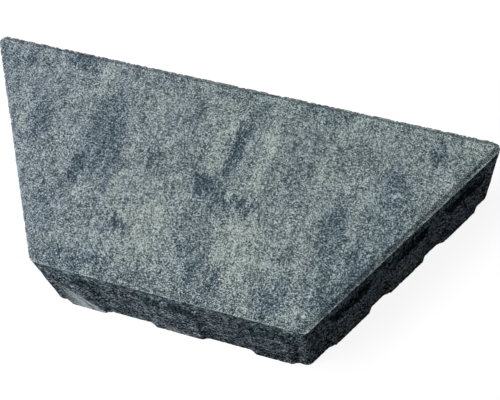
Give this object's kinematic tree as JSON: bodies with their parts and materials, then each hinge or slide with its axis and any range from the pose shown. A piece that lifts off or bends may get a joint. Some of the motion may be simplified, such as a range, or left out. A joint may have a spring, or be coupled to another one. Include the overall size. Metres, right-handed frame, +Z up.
{
  "type": "half-hexagon concrete paver",
  "caption": "Half-hexagon concrete paver with a bevelled upper face and spacer lugs on its sides, for the straight border of a hexagon pavement.",
  "frame": {"origin": "middle of the underside, halfway between the outer faces of the front and back lugs", "axes": "+X along the long back side, +Y from the short front side to the long back side, +Z up through the upper face"},
  "size_m": [0.2996, 0.135, 0.06],
  "materials": {
    "concrete": "rough, matt, fine-grained face with streaks of blue-grey and light green-grey"
  },
  "bodies": {
    "root": {"paver": "concrete"}
  },
  "joints": []
}
